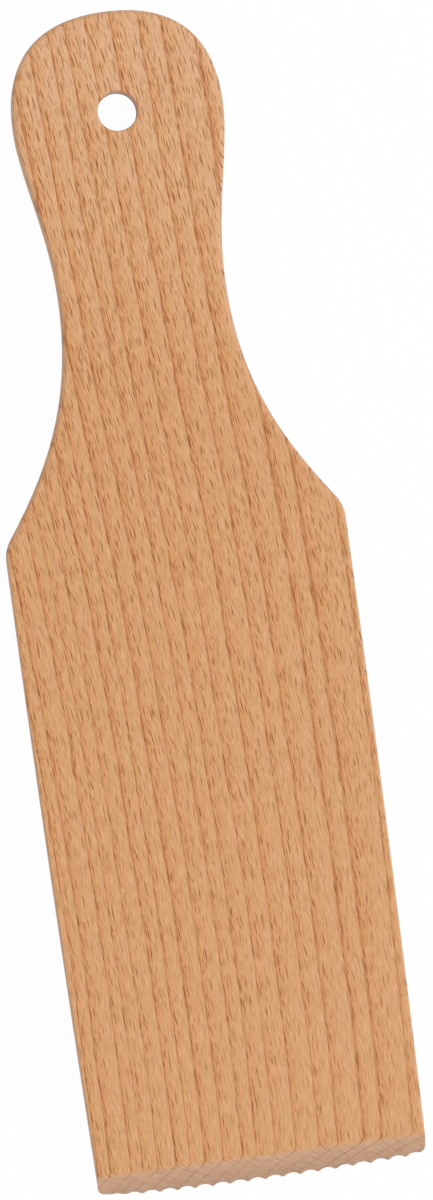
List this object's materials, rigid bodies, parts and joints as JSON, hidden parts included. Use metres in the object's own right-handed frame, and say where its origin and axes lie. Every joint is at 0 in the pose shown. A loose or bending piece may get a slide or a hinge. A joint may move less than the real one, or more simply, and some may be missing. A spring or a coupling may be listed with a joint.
{
  "type": "gnocchi board",
  "caption": "Flat beech board with a round-headed handle and a hanging hole: one smooth side, and one crowned side with ridges along the blade for rolling dough.",
  "frame": {"origin": "below the middle of the board's bounding box, on the surface that it lies on", "axes": "+Z out of the smooth side, +Y along the board towards the head of the handle, +X to the right seen from above with the handle away from the viewer"},
  "size_m": [0.0644, 0.2223, 0.008],
  "materials": {
    "beech": "sanded, bare"
  },
  "bodies": {
    "root": {"board": "beech"}
  },
  "joints": []
}
